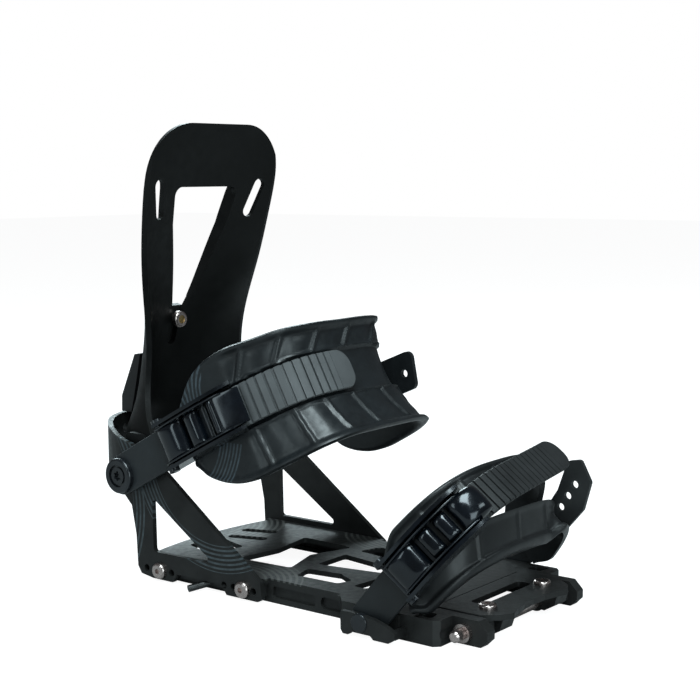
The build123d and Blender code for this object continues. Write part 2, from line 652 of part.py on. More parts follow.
def make_ankle_connector():
    """Flat strap from the far hub to the far end of the pad, with a free tab beyond."""
    plane = Plane(origin=(0, HUB_Y, HUB_Z), x_dir=ANKLE_PLANE.y_dir, z_dir=(1, 0, 0))
    outline = [(0, -11.5), (90, -10.5), (133.5, -6.0), (126.5, 16.0), (90, 12.8), (0, 11.5)]
    corners = make_face(Polyline(*outline, close=True)).vertices()
    face = fillet(corners.filter_by(lambda corner: corner.X > 100), 4.0) + Circle(11.5)
    holes = [Pos(0, 0) * Circle(4.1)]
    for reach, width in ((122.5, 5.0), (107.0, 3.4), (91.5, 1.8)):
        holes.append(Pos(reach, width) * Circle(2.4))
    for hole in holes:
        face = face - hole
    return extrude(plane.offset(ANKLE_FAR_FACE - 3.0) * face, amount=3.0)


def buckle_base(band_of, depth, start, end, half, walls):
    """Floor under the ladder and a wall up each side of it."""
    floor = band_of(depth - 1.6, depth - 0.05, start, end, -half - 2.4, half + 2.4)
    near = band_of(depth - 1.6, walls, start, end, half + 0.4, half + 2.4)
    far = band_of(depth - 1.6, walls, start, end, -half - 2.4, -half - 0.4)
    return fuse([floor, near, far])


def arch_offset(half, reach, power, away, depth):
    """Point on the near side of an arch at a distance from the axis, moved out by depth."""
    x = half * (1 - (away / reach) ** power) ** (1 / power)
    normal = Vector(x ** (power - 1) / half ** power, away ** (power - 1) / reach ** power).normalized()
    return (-(x + normal.X * depth), away + normal.Y * depth)


ANKLE_AXLE = arch_offset(ANKLE_HALF, ANKLE_REACH, ANKLE_POWER, 47.0, 6.4)
ANKLE_CATCH = arch_offset(ANKLE_HALF, ANKLE_REACH, ANKLE_POWER, 80.0, 3.7)
TOE_AXLE = arch_offset(TOE_HALF, TOE_REACH, TOE_POWER, 34.0, 6.0)
TOE_CATCH = arch_offset(TOE_HALF, TOE_REACH, TOE_POWER, 60.0, 3.7)
ANKLE_BUCKLE_SPAN = (-84.6, -58.0)
TOE_BUCKLE_SPAN = (-78.4, -33.0)
AXLE_R = 1.5
CATCH_R = 0.8
WALL_HEIGHT = 9.4
FOOT_DEPTH = 4.4           # the buckle's foot is sunk a little into the pad


def make_buckle_base(band_of, plane, span, half, axle, catch):
    """Floor and walls of a ratchet buckle, bored for its two pins."""
    start, end = span
    foot_end = start + (end - start) * 0.35
    foot = band_of(-FOOT_DEPTH, -LADDER_THICK / 2 - 1.5, start + 1, foot_end, -5, 5)
    base = buckle_base(band_of, -LADDER_THICK / 2, start, end, half, WALL_HEIGHT) + foot
    width = half + 8
    return base - fuse_all([cross_pin(plane, *axle, -width, width, AXLE_R + 0.02),
                            cross_pin(plane, *catch, -width, width, CATCH_R + 0.02)])


def make_buckle_axle(plane, half, axle):
    """Pin that the lever turns on, with a round head outside each wall."""
    pin = cross_pin(plane, *axle, -half - 2.5, half + 2.5, AXLE_R)
    head = cross_pin(plane, *axle, half + 2.45, half + 4.2, 3.1)
    far_head = cross_pin(plane, *axle, -half - 4.2, -half - 2.45, 3.1)
    return fuse([pin, head, far_head])


def make_buckle_lever(band_of, plane, start, end, half, axle):
    """Lever over the ladder: side bars, three cross bars and a broad free end."""
    width = half - 0.1
    plate = band_of(5.9, 8.9, start, end, -width, width)
    knuckle = cross_pin(plane, *axle, -width, width, 3.3)
    span = end - start
    windows = []
    for first, last in ((0.17, 0.32), (0.40, 0.55)):
        windows.append(band_of(3.0, 12.0, start + span * first, start + span * last, -width + 3, width - 3))
    lip = band_of(7.5, 10.6, start + span * 0.66, end, -width, width)
    lever = fuse([plate, knuckle, lip])
    return lever - fuse_all(windows + [cross_pin(plane, *axle, -width - 1, width + 1, AXLE_R + 0.05)])


def make_pawl(band_of, plane, half, catch, start, end):
    """Spring-loaded pawl whose nose rests in the ladder's teeth."""
    width = half - 3.0
    nose = band_of(1.9, 3.6, start, end, -width, width)
    knuckle = cross_pin(plane, *catch, -width, width, 1.6)
    return (nose + knuckle) - cross_pin(plane, *catch, -width - 1, width + 1, CATCH_R + 0.03)


def make_pad_screw(y, z, face):
    """Button screw that holds the pad's far end to its connector's outer face."""
    shaft = rod_x(54.5, face, y, z, 2.0)
    head = rod_x(face, face + 2.5, y, z, 5.0)
    return shaft + fillet(head.edges().filter_by(GeomType.CIRCLE).sort_by(Axis.X)[-1], 1.4)


def far_point(plane, away, width):
    """World Y and Z of a point beside the far connector."""
    point = in_plane(plane, 0, away, width)
    return (point.Y, point.Z)


ANKLE_PAD_SCREW = far_point(ANKLE_PLANE, 70.0, 0.0)
TOE_PAD_SCREW = far_point(TOE_PLANE, 42.0, 9.0)


# ---------------------------------------------------------------- toe strap

def tailed_face(inner, outer, power, tail):
    """The area between two arches from the near foot to their tops, then straight across."""
    low = arch_line(*inner, power, -89.99, 0)
    high = arch_line(*outer, power, -89.99, 0)
    end_low, end_high = (tail, inner[1]), (tail, outer[1])
    edges = [Spline(*low), Line(low[-1], end_low), Line(end_low, end_high), Line(end_high, high[-1]),
             Spline(*reversed(high)), Line(high[0], low[0])]
    return make_face(edges)


def make_toe_ladder():
    """Ladder strap from the near toe bolt to its free tip near the far side."""
    half = TOE_LADDER_HALF
    low, high = -LADDER_THICK / 2, LADDER_THICK / 2
    inner = (TOE_HALF + low, TOE_REACH + low)
    outer = (TOE_HALF + high, TOE_REACH + high)
    face = tailed_face(inner, outer, TOE_POWER, TOE_TAIL)
    strip = extrude(TOE_LADDER_PLANE.offset(-half) * face, amount=2 * half)
    strip = round_tip(strip, TOE_LADDER_PLANE, (TOE_TAIL, TOE_REACH), half, 8.0)
    lug = rod_x(-67.4, -63.4, TOE_Y, TOE_Z, 7.4)
    return (strip + lug) - rod_x(-80, -50, TOE_Y, TOE_Z, 3.0)


def make_toe_pad():
    """Moulded cap that wraps the toe of the boot, its lower edge drawn in."""
    slices = ((-22.0, 61.0, 82.5, 62.0), (-7.0, 61.5, 83.5, 64.0), (4.0, 61.5, 78.0, 66.0), (20.0, 60.0, 62.0, 62.0))
    sections = [pad_section(TOE_PLANE, offset, half, reach, TOE_POWER, -end, end, PAD_THICK - 1)
                for offset, half, reach, end in slices]
    far_cheek = band(TOE_PLANE, (55.5, 66.0), (61.5, 72.0), TOE_POWER, 22, 62, 5.5, 23.0)
    return (loft(sections, ruled=True) + far_cheek) - toe_pad_gap()


def toe_pad_gap():
    """The long opening between the pad's upper and lower lobes."""
    return extrude(TOE_PLANE.offset(-8.0) * block_face(-34, 50, 50, 100), amount=13.5)


def make_toe_connector():
    """Flat strap from the far toe bolt up past the pad, with two rows of holes."""
    plane = Plane(origin=(0, TOE_Y, TOE_Z), x_dir=TOE_PLANE.y_dir, z_dir=(1, 0, 0))
    outline = [(0, -7.4), (20, -4), (45, -2), (62, -4), (79, -10.3), (85.5, -5), (80.4, 7.7), (65, 14.6),
               (42, 14.4), (30, 12.8), (11.5, 11.1), (3, 6.8)]
    face = fillet(make_face(Polyline(*outline, close=True)).vertices(), 2.5) + Circle(7.4)
    holes = [Pos(0, 0) * Circle(3.0)]
    holes += [Pos(away, width) * Circle(2.2) for away, width in ((72.2, 1.6), (64.1, 2.7), (56.0, 3.8))]
    for hole in holes:
        face = face - hole
    return extrude(plane.offset(TOE_FAR_FACE - 2.6) * face, amount=2.6)


# ---------------------------------------------------------------- assembly

def make_all():
    """Every node's name and shape."""
    ankle_pin = rod_x(50, 70, *ANKLE_PAD_SCREW, 2.05)
    toe_pin = rod_x(45, 70, *TOE_PAD_SCREW, 2.05)
    ankle_width, toe_width = ANKLE_LADDER_HALF, TOE_LADDER_HALF
    a0, a1 = ANKLE_BUCKLE_SPAN
    t0, t1 = TOE_BUCKLE_SPAN
    return {
        "baseplate": make_baseplate(),
        "heelcup": make_heelcup(),
        "heelcup_screws": make_heelcup_screws(),
        "hub_bolts": make_hub_bolts(),
        "hub_washers": make_hub_washers(),
        "hub_nuts": make_hub_nuts(),
        "toe_bolts": make_toe_bolts(),
        "toe_guards": make_toe_guards(),
        "stop_wire": stop_wire_bar(2.0),
        "cross_tube": make_cross_tube(),
        "pin_collars": make_pin_collars(),
        "pin_spring": make_pin_spring(),
        "touring_pin_near": touring_pin(-1),
        "touring_pin_far": touring_pin(1),
        "snap_ramp": make_snap_ramp(),
        "ramp_legs": make_ramp_legs(),
        "ramp_hooks": make_ramp_hooks(),
        "ramp_screws": make_ramp_screws(),
        "highback": make_highback(),
        "lean_block": make_lean_block(),
        "lean_bolt": make_lean_bolt(),
        "lean_plug": make_lean_plug(),
        "lean_nut": make_lean_nut(),
        "ankle_ladder": make_ankle_ladder(),
        "ankle_pad": make_ankle_pad() - ankle_pin,
        "ankle_connector": make_ankle_connector() - ankle_pin,
        "ankle_pad_screw": make_pad_screw(*ANKLE_PAD_SCREW, ANKLE_FAR_FACE),
        "ankle_buckle_base": make_buckle_base(ankle_band, ANKLE_PLANE, (a0, a1), ankle_width,
                                              ANKLE_AXLE, ANKLE_CATCH),
        "ankle_buckle_axle": make_buckle_axle(ANKLE_PLANE, ankle_width, ANKLE_AXLE),
        "ankle_buckle_lever": make_buckle_lever(ankle_band, ANKLE_PLANE, -83.0, -56.5, ankle_width, ANKLE_AXLE),
        "ankle_pawl": make_pawl(ankle_band, ANKLE_PLANE, ankle_width, ANKLE_CATCH, -75.5, -71.0),
        "ankle_pawl_pin": cross_pin(ANKLE_PLANE, *ANKLE_CATCH, -ankle_width - 2.4, ankle_width + 2.4, CATCH_R),
        "toe_ladder": make_toe_ladder(),
        "toe_pad": make_toe_pad() - toe_pin,
        "toe_connector": make_toe_connector() - toe_pin,
        "toe_pad_screw": make_pad_screw(*TOE_PAD_SCREW, TOE_FAR_FACE),
        "toe_buckle_base": make_buckle_base(toe_band, TOE_LADDER_PLANE, (t0, t1), toe_width, TOE_AXLE, TOE_CATCH),
        "toe_buckle_axle": make_buckle_axle(TOE_LADDER_PLANE, toe_width, TOE_AXLE),
        "toe_buckle_lever": make_buckle_lever(toe_band, TOE_LADDER_PLANE, -75.5, -31.0, toe_width, TOE_AXLE),
        "toe_pawl": make_pawl(toe_band, TOE_LADDER_PLANE, toe_width, TOE_CATCH, -62.5, -57.0),
        "toe_pawl_pin": cross_pin(TOE_LADDER_PLANE, *TOE_CATCH, -toe_width - 2.4, toe_width + 2.4, CATCH_R),
    }


os.makedirs("parts", exist_ok=True)
for node, shape in make_all().items():
    save(node, shape)
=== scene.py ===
import json
import math

import bmesh
import bpy
from mathutils import Matrix, Vector


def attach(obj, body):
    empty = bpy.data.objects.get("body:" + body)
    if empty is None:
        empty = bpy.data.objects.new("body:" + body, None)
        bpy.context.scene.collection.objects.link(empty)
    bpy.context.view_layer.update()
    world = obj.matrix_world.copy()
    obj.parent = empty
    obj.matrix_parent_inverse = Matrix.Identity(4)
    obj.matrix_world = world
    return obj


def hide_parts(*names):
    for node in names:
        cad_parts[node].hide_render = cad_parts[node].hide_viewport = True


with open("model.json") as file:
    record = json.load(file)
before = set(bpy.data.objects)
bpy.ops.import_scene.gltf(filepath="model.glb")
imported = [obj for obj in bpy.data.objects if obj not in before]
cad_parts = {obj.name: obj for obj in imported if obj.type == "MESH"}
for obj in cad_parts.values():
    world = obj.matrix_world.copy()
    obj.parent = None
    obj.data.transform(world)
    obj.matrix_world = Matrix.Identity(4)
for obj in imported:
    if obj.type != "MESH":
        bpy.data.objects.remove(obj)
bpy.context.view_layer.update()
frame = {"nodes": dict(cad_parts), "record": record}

MM = 0.001

CAMERA_PLACE = (-0.63723, -0.52097, 0.23393)
CAMERA_AZIMUTH = 51.96      # degrees from +Y towards +X, of the way it looks
CAMERA_ELEVATION = 6.95     # degrees it looks down
CAMERA_ROLL = -0.34
COOL_WHITE = (0.80, 0.96, 1.0)
ROOM_STRENGTH = 0.1
FLOOR_DROP = 0.0004         # the floor lies just under the part, so the two never share a plane
FLOOR_HALF = 6.0
FLOOR_GREY = 0.36
FLOOR_GLOW = 0.93           # what the camera sees of it; the part is not lit by it


# ---------------------------------------------------------------- camera, floor and light

def add_camera():
    """Long lens, low, from the near front corner of the toe."""
    data = bpy.data.cameras.new("camera")
    data.lens = 74.83
    data.sensor_width = 36.0
    data.shift_x = -0.00378
    data.shift_y = 0.00233
    data.clip_start = 0.01
    data.clip_end = 20.0
    camera = bpy.data.objects.new("camera", data)
    azimuth, elevation = math.radians(CAMERA_AZIMUTH), math.radians(CAMERA_ELEVATION)
    forward = Vector((math.sin(azimuth) * math.cos(elevation), math.cos(azimuth) * math.cos(elevation),
                      -math.sin(elevation)))
    turn = forward.to_track_quat("-Z", "Y").to_matrix().to_4x4()
    roll = Matrix.Rotation(math.radians(CAMERA_ROLL), 4, "Z")
    camera.matrix_world = Matrix.Translation(CAMERA_PLACE) @ turn @ roll
    bpy.context.scene.collection.objects.link(camera)
    bpy.context.scene.camera = camera


def area_light(name, place, target, size, power):
    """Cool soft box that points at the target."""
    data = bpy.data.lights.new(name, "AREA")
    data.shape = "RECTANGLE"
    data.size, data.size_y = size
    data.energy = power
    data.color = COOL_WHITE
    light = bpy.data.objects.new(name, data)
    light.location = place
    light.rotation_euler = (Vector(target) - Vector(place)).to_track_quat("-Z", "Y").to_euler()
    bpy.context.scene.collection.objects.link(light)


def add_studio():
    """Pale floor, pale surroundings and soft boxes."""
    add_floor()
    add_surroundings()
    area_light("key", (-0.52, -0.36, 1.35), (0, 0, 0.12), (0.6, 0.9), 22)
    area_light("front", (0.2, -1.4, 1.1), (0, -0.05, 0.05), (0.8, 0.4), 5)
    area_light("side", (-1.4, 0.35, 0.5), (0, 0.05, 0.12), (0.3, 0.7), 2.2)
    area_light("back", (0.7, 1.2, 0.8), (0, 0, 0.06), (1.0, 0.5), 12)
    area_light("low_front", (-0.75, -1.25, 0.32), (0, -0.03, 0.12), (0.8, 0.7), 7)
    bpy.context.scene.view_settings.view_transform = "Standard"


def add_floor():
    """Pale floor that looks white to the camera only, so that it doesn't light the part from below."""
    mesh = bpy.data.meshes.new("floor")
    corners = ((-1, -1), (1, -1), (1, 1), (-1, 1))
    mesh.from_pydata([(FLOOR_HALF * x, FLOOR_HALF * y, -FLOOR_DROP) for x, y in corners], [], [(0, 1, 2, 3)])
    floor = bpy.data.objects.new("floor", mesh)
    bpy.context.scene.collection.objects.link(floor)
    material = bpy.data.materials.new("floor")
    material.use_nodes = True
    shader = material.node_tree.nodes["Principled BSDF"]
    shader.inputs["Base Color"].default_value = (FLOOR_GREY, FLOOR_GREY, FLOOR_GREY, 1)
    shader.inputs["Roughness"].default_value = 0.9
    shader.inputs["Emission Color"].default_value = (1, 1, 1, 1)
    shader.inputs["Specular IOR Level"].default_value = 0.0
    seen = material.node_tree.nodes.new("ShaderNodeLightPath")
    pale = material.node_tree.nodes.new("ShaderNodeMath")
    pale.operation = "MULTIPLY"
    pale.inputs[1].default_value = FLOOR_GLOW
    material.node_tree.links.new(seen.outputs["Is Camera Ray"], pale.inputs[0])
    material.node_tree.links.new(pale.outputs["Value"], shader.inputs["Emission Strength"])
    mesh.materials.append(material)


def add_surroundings():
    """Dim cool room light, white where the camera looks straight at it."""
    world = bpy.data.worlds.new("world")
    world.use_nodes = True
    tree = world.node_tree
    room = tree.nodes["Background"]
    room.inputs["Color"].default_value = (0.93, 0.97, 1, 1)
    room.inputs["Strength"].default_value = ROOM_STRENGTH
    backdrop = tree.nodes.new("ShaderNodeBackground")
    backdrop.inputs["Color"].default_value = (1, 1, 1, 1)
    seen = tree.nodes.new("ShaderNodeLightPath")
    mix = tree.nodes.new("ShaderNodeMixShader")
    tree.links.new(seen.outputs["Is Camera Ray"], mix.inputs[0])
    tree.links.new(room.outputs["Background"], mix.inputs[1])
    tree.links.new(backdrop.outputs["Background"], mix.inputs[2])
    tree.links.new(mix.outputs["Shader"], tree.nodes["World Output"].inputs["Surface"])
    bpy.context.scene.world = world


# ---------------------------------------------------------------- materials

NOISE_LOW, NOISE_HIGH = 0.3, 0.7    # the part of a noise's range that a ramp or a spread uses
LINE_SHARE = 0.45                   # how much of an engraved line's pitch is line


class Look:
    """A procedural material under construction."""

    def __init__(self, name):
        self.material = bpy.data.materials.new(name)
        self.material.use_nodes = True
        self.tree = self.material.node_tree
        self.shader = self.tree.nodes["Principled BSDF"]
        self.place = self.add("ShaderNodeTexCoord").outputs["Object"]

    def add(self, kind, **values):
        node = self.tree.nodes.new(kind)
        for key, value in values.items():
            setattr(node, key, value)
        return node

    def link(self, source, target):
        self.tree.links.new(source, target)

    def set(self, **values):
        for key, value in values.items():
            self.shader.inputs[key.replace("_", " ")].default_value = value

    def noise(self, scale, detail, stretch=(1, 1, 1)):
        """Noise in metres; a scale of 1000 has features about a millimetre wide."""
        mapping = self.add("ShaderNodeMapping")
        mapping.inputs["Scale"].default_value = stretch
        self.link(self.place, mapping.inputs["Vector"])
        node = self.add("ShaderNodeTexNoise")
        node.inputs["Scale"].default_value = scale
        node.inputs["Detail"].default_value = detail
        self.link(mapping.outputs["Vector"], node.inputs["Vector"])
        return node.outputs["Fac"]

    def ramp(self, source, low, high):
        """Colours from low to high."""
        node = self.add("ShaderNodeValToRGB")
        node.color_ramp.elements[0].position = NOISE_LOW
        node.color_ramp.elements[1].position = NOISE_HIGH
        node.color_ramp.elements[0].color = low
        node.color_ramp.elements[1].color = high
        self.link(source, node.inputs["Fac"])
        return node.outputs["Color"]

    def spread(self, source, low, high, start=NOISE_LOW, end=NOISE_HIGH):
        """A number from low to high."""
        node = self.add("ShaderNodeMapRange")
        node.inputs["From Min"].default_value = start
        node.inputs["From Max"].default_value = end
        node.inputs["To Min"].default_value = low
        node.inputs["To Max"].default_value = high
        self.link(source, node.inputs["Value"])
        return node.outputs["Result"]

    def math(self, operation, first, second=None):
        node = self.add("ShaderNodeMath", operation=operation)
        for socket, value in zip(node.inputs, (first, second)):
            if value is None:
                continue
            if isinstance(value, (int, float)):
                socket.default_value = value
            else:
                self.link(value, socket)
        return node.outputs["Value"]

    def mix(self, factor, first, second):
        node = self.add("ShaderNodeMix", data_type="RGBA")
        self.link(factor, node.inputs["Factor"])
        for socket, value in ((node.inputs[6], first), (node.inputs[7], second)):
            if isinstance(value, tuple):
                socket.default_value = value
            else:
                self.link(value, socket)
        return node.outputs[2]

    def bump(self, source, strength, distance):
        node = self.add("ShaderNodeBump")
        node.inputs["Strength"].default_value = strength
        node.inputs["Distance"].default_value = distance
        self.link(source, node.inputs["Height"])
        self.link(node.outputs["Normal"], self.shader.inputs["Normal"])

    def axes(self):
        node = self.add("ShaderNodeSeparateXYZ")
        self.link(self.place, node.inputs["Vector"])
        return node.outputs

    def rings(self, first, second, centre, near, far, pitch):
        """Mask of thin rings about a centre, in the plane of two coordinates."""
        a = self.math("SUBTRACT", first, centre[0])
        b = self.math("SUBTRACT", second, centre[1])
        squares = self.math("ADD", self.math("MULTIPLY", a, a), self.math("MULTIPLY", b, b))
        radius = self.math("SQRT", squares)
        wave = self.math("FRACT", self.math("DIVIDE", radius, pitch))
        line = self.math("LESS_THAN", wave, LINE_SHARE)
        past_near = self.math("GREATER_THAN", radius, near)
        inside = self.math("MULTIPLY", past_near, self.math("LESS_THAN", radius, far))
        return self.math("MULTIPLY", line, inside)

    def colour(self, source, low, high):
        """Base colour from low to high."""
        self.link(self.ramp(source, low, high), self.shader.inputs["Base Color"])

    def roughness(self, source, low, high):
        """Roughness from low to high."""
        self.link(self.spread(source, low, high), self.shader.inputs["Roughness"])


def grey(value, tint=(1.0, 1.0, 1.0)):
    return (value * tint[0], value * tint[1], value * tint[2], 1.0)


def moulded(name, dark, light, roughness, grain, tint=(1, 1, 1.03)):
    """Moulded plastic with faint flow marks, fine grain and scuffs."""
    look = Look(name)
    look.colour(look.noise(45, 5), grey(dark, tint), grey(light, tint))
    look.roughness(look.noise(160, 6), roughness - 0.05, roughness + 0.09)
    look.bump(look.noise(2600, 3), grain, 0.00008)
    look.set(Specular_IOR_Level=0.5)
    return look


def ladder_look_with_painted_shade(name, shank, teeth, ends):
    """Strap plastic, greyer at the teeth, with painted shade that darkens the shank. It changes between two Y
    places, the ends.
    """
    look = Look(name)
    flow = look.noise(70, 5)
    tint = (0.95, 1.0, 1.03)
    # painted shade: the shank gets a darker, bluer colour than the teeth, blended in along Y
    dark = look.ramp(flow, *(grey(value, (0.85, 1.0, 1.12)) for value in shank))
    pale = look.ramp(flow, *(grey(value, tint) for value in teeth))
    share = look.spread(look.axes()["Y"], 0.0, 1.0, *ends)
    look.link(look.mix(share, dark, pale), look.shader.inputs["Base Color"])
    look.roughness(look.noise(160, 6), 0.36, 0.48)
    look.bump(look.noise(2600, 3), 0.3, 0.00008)
    look.set(Specular_IOR_Level=0.42)
    return look


def gloss_metal(name, dark, light, roughness, tint=(0.85, 1.0, 1.25)):
    """Painted or oxidised metal, glossy, with fine wear."""
    look = Look(name)
    look.colour(look.noise(60, 6), grey(dark, tint), grey(light, tint))
    look.roughness(look.noise(220, 6), roughness - 0.04, roughness + 0.1)
    look.bump(look.noise(1500, 4), 0.12, 0.00006)
    look.set(Metallic=0.55, Coat_Weight=0.6, Coat_Roughness=0.05)
    return look


def turned_metal(name, low, high, roughness, stretch=(1, 14, 14)):
    """Bright steel or brass with turning marks."""
    look = Look(name)
    look.colour(look.noise(240, 6, stretch), low, high)
    look.roughness(look.noise(420, 5, stretch), roughness - 0.06, roughness + 0.12)
    look.bump(look.noise(900, 4, stretch), 0.2, 0.00006)
    look.set(Metallic=1.0)
    return look


def anodised(name, base, line, families, roughness=0.44, grain=0.3, tint=(1.0, 1.0, 0.98)):
    """Bead-blasted black finish with families of engraved arc lines, each kept within limits on an axis."""
    look = Look(name)
    x, y, z = look.axes()
    planes = {"yz": (y, z), "xy": (x, y)}
    mask = None
    for plane, centre, near, far, pitch, limits in families:
        rings = look.rings(*planes[plane], centre, near, far, pitch)
        for axis, side, limit in limits:
            rings = look.math("MULTIPLY", rings, look.math(side, {"x": x, "y": y, "z": z}[axis], limit))
        mask = rings if mask is None else look.math("MAXIMUM", mask, rings)
    body = look.ramp(look.noise(70, 6), grey(base * 0.75, tint), grey(base * 1.3, tint))
    if mask is None:
        look.link(body, look.shader.inputs["Base Color"])
    else:
        worn = look.math("MULTIPLY", mask, look.spread(look.noise(300, 4), 0.45, 1.0))
        look.link(look.mix(worn, body, line), look.shader.inputs["Base Color"])
    look.roughness(look.noise(300, 6), roughness - 0.07, roughness + 0.1)
    look.bump(look.noise(3200, 3), grain, 0.00008)
    look.set(Metallic=0.35, Specular_IOR_Level=0.5)
    return look


def make_looks():
    """Every material of the binding, by the record's slot or by a name of its own."""
    line = (0.085, 0.105, 0.115, 1.0)
    near = ("x", "LESS_THAN", -0.02)
    top = ("z", "GREATER_THAN", 0.0125)
    cup_rings = [("yz", (0.030, 0.078), 0.050, 0.0655, 0.0026, [near]),
                 ("yz", (0.010, 0.112), 0.052, 0.068, 0.0026, [near]),
                 ("yz", (0.160, 0.040), 0.064, 0.0745, 0.003, [near])]
    deck_rings = [("xy", (-0.075, 0.020), 0.030, 0.052, 0.0034, [top]),
                  ("xy", (0.012, 0.118), 0.030, 0.060, 0.0036, [top]),
                  ("xy", (0.085, -0.020), 0.036, 0.056, 0.0034, [top])]
    pad_rings = [("yz", (0.060, 0.090), 0.036, 0.052, 0.0023, [near, ("z", "LESS_THAN", 0.088)]),
                 ("yz", (0.022, 0.118), 0.014, 0.044, 0.0026, [near, ("y", "GREATER_THAN", 0.037),
                                                               ("z", "GREATER_THAN", 0.098)])]
    steel = (1.22, 1.03, 0.98)
    looks = {
        "black_anodised": anodised("black_anodised", 0.016, line, []),
        "heelcup": anodised("heelcup_finish", 0.018, line, cup_rings, 0.38),
        "baseplate": anodised("baseplate_finish", 0.022, (0.1, 0.1, 0.095, 1), deck_rings, 0.42),
        "stainless": turned_metal("stainless", grey(0.3, steel), grey(0.6, steel), 0.22),
        "dull_steel": turned_metal("dull_steel", grey(0.045), grey(0.09), 0.35),
        "black_steel": gloss_metal("black_steel", 0.010, 0.02, 0.3),
        "brass": turned_metal("brass", (0.42, 0.27, 0.1, 1), (0.62, 0.44, 0.2, 1), 0.28, (1, 1, 1)),
        "black_nylon": moulded("black_nylon", 0.007, 0.012, 0.4, 0.35),
        "highback": moulded("highback_finish", 0.0024, 0.0042, 0.42, 0.35, tint=(0.97, 1.03, 1.0)),
        "pad_plastic": anodised("pad_finish", 0.0105, (0.062, 0.082, 0.097, 1), pad_rings, 0.38, 0.07,
                                tint=(0.8, 1.0, 1.14)),
        "toe_pad": moulded("toe_pad_finish", 0.011, 0.018, 0.34, 0.08, tint=(0.92, 1.0, 1.06)),
        # painted shade darkens the shanks of both ladders
        "ladder_grey": ladder_look_with_painted_shade("ladder_grey", (0.014, 0.022), (0.072, 0.095), (0.046, 0.036)),
        "ladder_black": ladder_look_with_painted_shade("ladder_black", (0.008, 0.013), (0.017, 0.026), (-0.113, -0.121)),
        "buckle_black": gloss_metal("buckle_black", 0.004, 0.009, 0.16, (0.6, 1.0, 1.6)),
    }
    for name, level in (("highback", 0.22), ("baseplate", 0.4), ("heelcup", 0.35), ("toe_pad", 0.4)):
        looks[name].set(Specular_IOR_Level=level)
    looks["buckle_black"].set(Coat_Roughness=0.11)
    looks["pad_plastic"].set(Metallic=0.0, Specular_IOR_Level=0.42, Coat_Weight=0.12, Coat_Roughness=0.2)
    return {name: look.material for name, look in looks.items()}


# ---------------------------------------------------------------- meshes

def make_object(name, points, faces, material, body, sharp):
    """A mesh object that rides on a body, smooth but for edges sharper than an angle."""
    mesh = bpy.data.meshes.new(name)
    mesh.from_pydata([tuple(point) for point in points], [], faces)
    mesh.validate()
    shape = bmesh.new()
    shape.from_mesh(mesh)
    bmesh.ops.delete(shape, geom=[point for point in shape.verts if not point.link_faces], context="VERTS")
    bmesh.ops.recalc_face_normals(shape, faces=shape.faces)
    shape.to_mesh(mesh)
    shape.free()
    mesh.polygons.foreach_set("use_smooth", [True] * len(mesh.polygons))
    mesh.set_sharp_from_angle(angle=math.radians(sharp))
    mesh.materials.append(material)
    obj = bpy.data.objects.new(name, mesh)
    bpy.context.scene.collection.objects.link(obj)
    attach(obj, body)
    return obj


class Mesh:
    """Points and faces gathered from several closed shapes."""

    def __init__(self):
        self.points = []
        self.faces = []

    def loft(self, rings):
        """Closed shape through rings of points, capped at both ends."""
        start, count = len(self.points), len(rings[0])
        for ring in rings:
            self.points.extend(ring)
        for i in range(len(rings) - 1):
            for j in range(count):
                k = (j + 1) % count
                a, b = start + i * count, start + (i + 1) * count
                self.faces.append((a + j, a + k, b + k, b + j))
        self.faces.append(tuple(start + j for j in reversed(range(count))))
        last = start + (len(rings) - 1) * count
        self.faces.append(tuple(last + j for j in range(count)))

    def shell(self, columns, rows, outer, inner, keep):
        """Thick sheet: an outer and an inner grid, with walls round what is kept."""
        start = len(self.points)
        for place in (outer, inner):
            for i in range(columns + 1):
                for j in range(rows + 1):
                    self.points.append(place(i, j))
        inner_start = start + (columns + 1) * (rows + 1)

        def index(base, i, j):
            return base + i * (rows + 1) + j

        def kept(i, j):
            return 0 <= i < columns and 0 <= j < rows and keep(i, j)

        for i in range(columns):
            for j in range(rows):
                if not kept(i, j):
                    continue
                corners = ((i, j), (i + 1, j), (i + 1, j + 1), (i, j + 1))
                self.faces.append(tuple(index(start, *c) for c in corners))
                self.faces.append(tuple(index(inner_start, *c) for c in reversed(corners)))
                for near, (first, second) in (((i, j - 1), (0, 1)), ((i + 1, j), (1, 2)),
                                              ((i, j + 1), (2, 3)), ((i - 1, j), (3, 0))):
                    if not kept(*near):
                        a, b = corners[first], corners[second]
                        self.faces.append((index(start, *b), index(start, *a),
                                           index(inner_start, *a), index(inner_start, *b)))


STEPS_PER_DEGREE = 8


